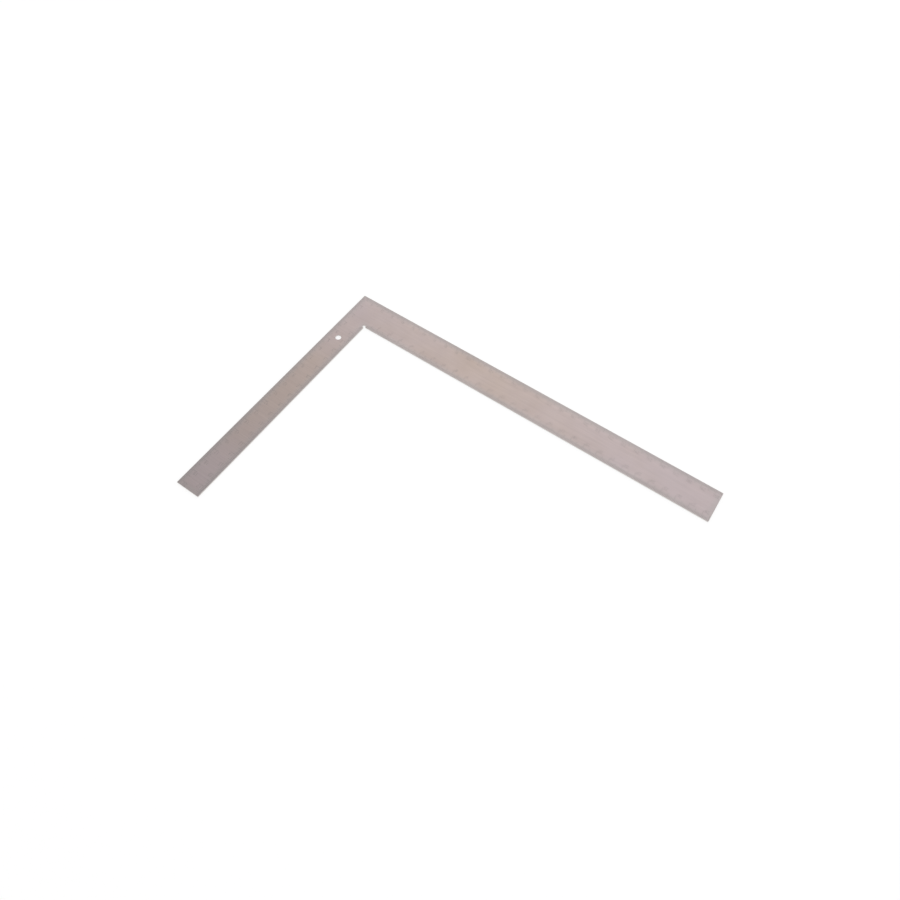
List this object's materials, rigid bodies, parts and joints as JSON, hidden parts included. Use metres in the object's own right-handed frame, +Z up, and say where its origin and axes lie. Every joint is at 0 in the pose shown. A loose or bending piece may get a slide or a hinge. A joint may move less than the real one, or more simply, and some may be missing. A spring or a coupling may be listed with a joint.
{
  "type": "steel square ruler",
  "caption": "Flat L-shaped steel square with a long blade, a short tongue, marked scales on every edge, a hanging hole and a relieved inside corner.",
  "frame": {"origin": "outer corner of the heel, where the two outer edges meet, on the face that lies down", "axes": "+Y along the blade, +X along the tongue, +Z up out of the metric face"},
  "size_m": [0.2032, 0.3048, 0.001],
  "materials": {
    "steel": "fine satin, cold-rolled sheet",
    "mark_fill": "thin matt compound set in etched marks"
  },
  "bodies": {
    "root": {"steel_square": "steel", "front_blade_outer_scale": "mark_fill", "front_blade_inner_scale": "mark_fill", "front_tongue_outer_scale": "mark_fill", "front_tongue_inner_scale": "mark_fill", "back_blade_outer_scale": "mark_fill", "back_blade_inner_scale": "mark_fill", "back_tongue_outer_scale": "mark_fill", "back_tongue_inner_scale": "mark_fill"}
  },
  "joints": []
}
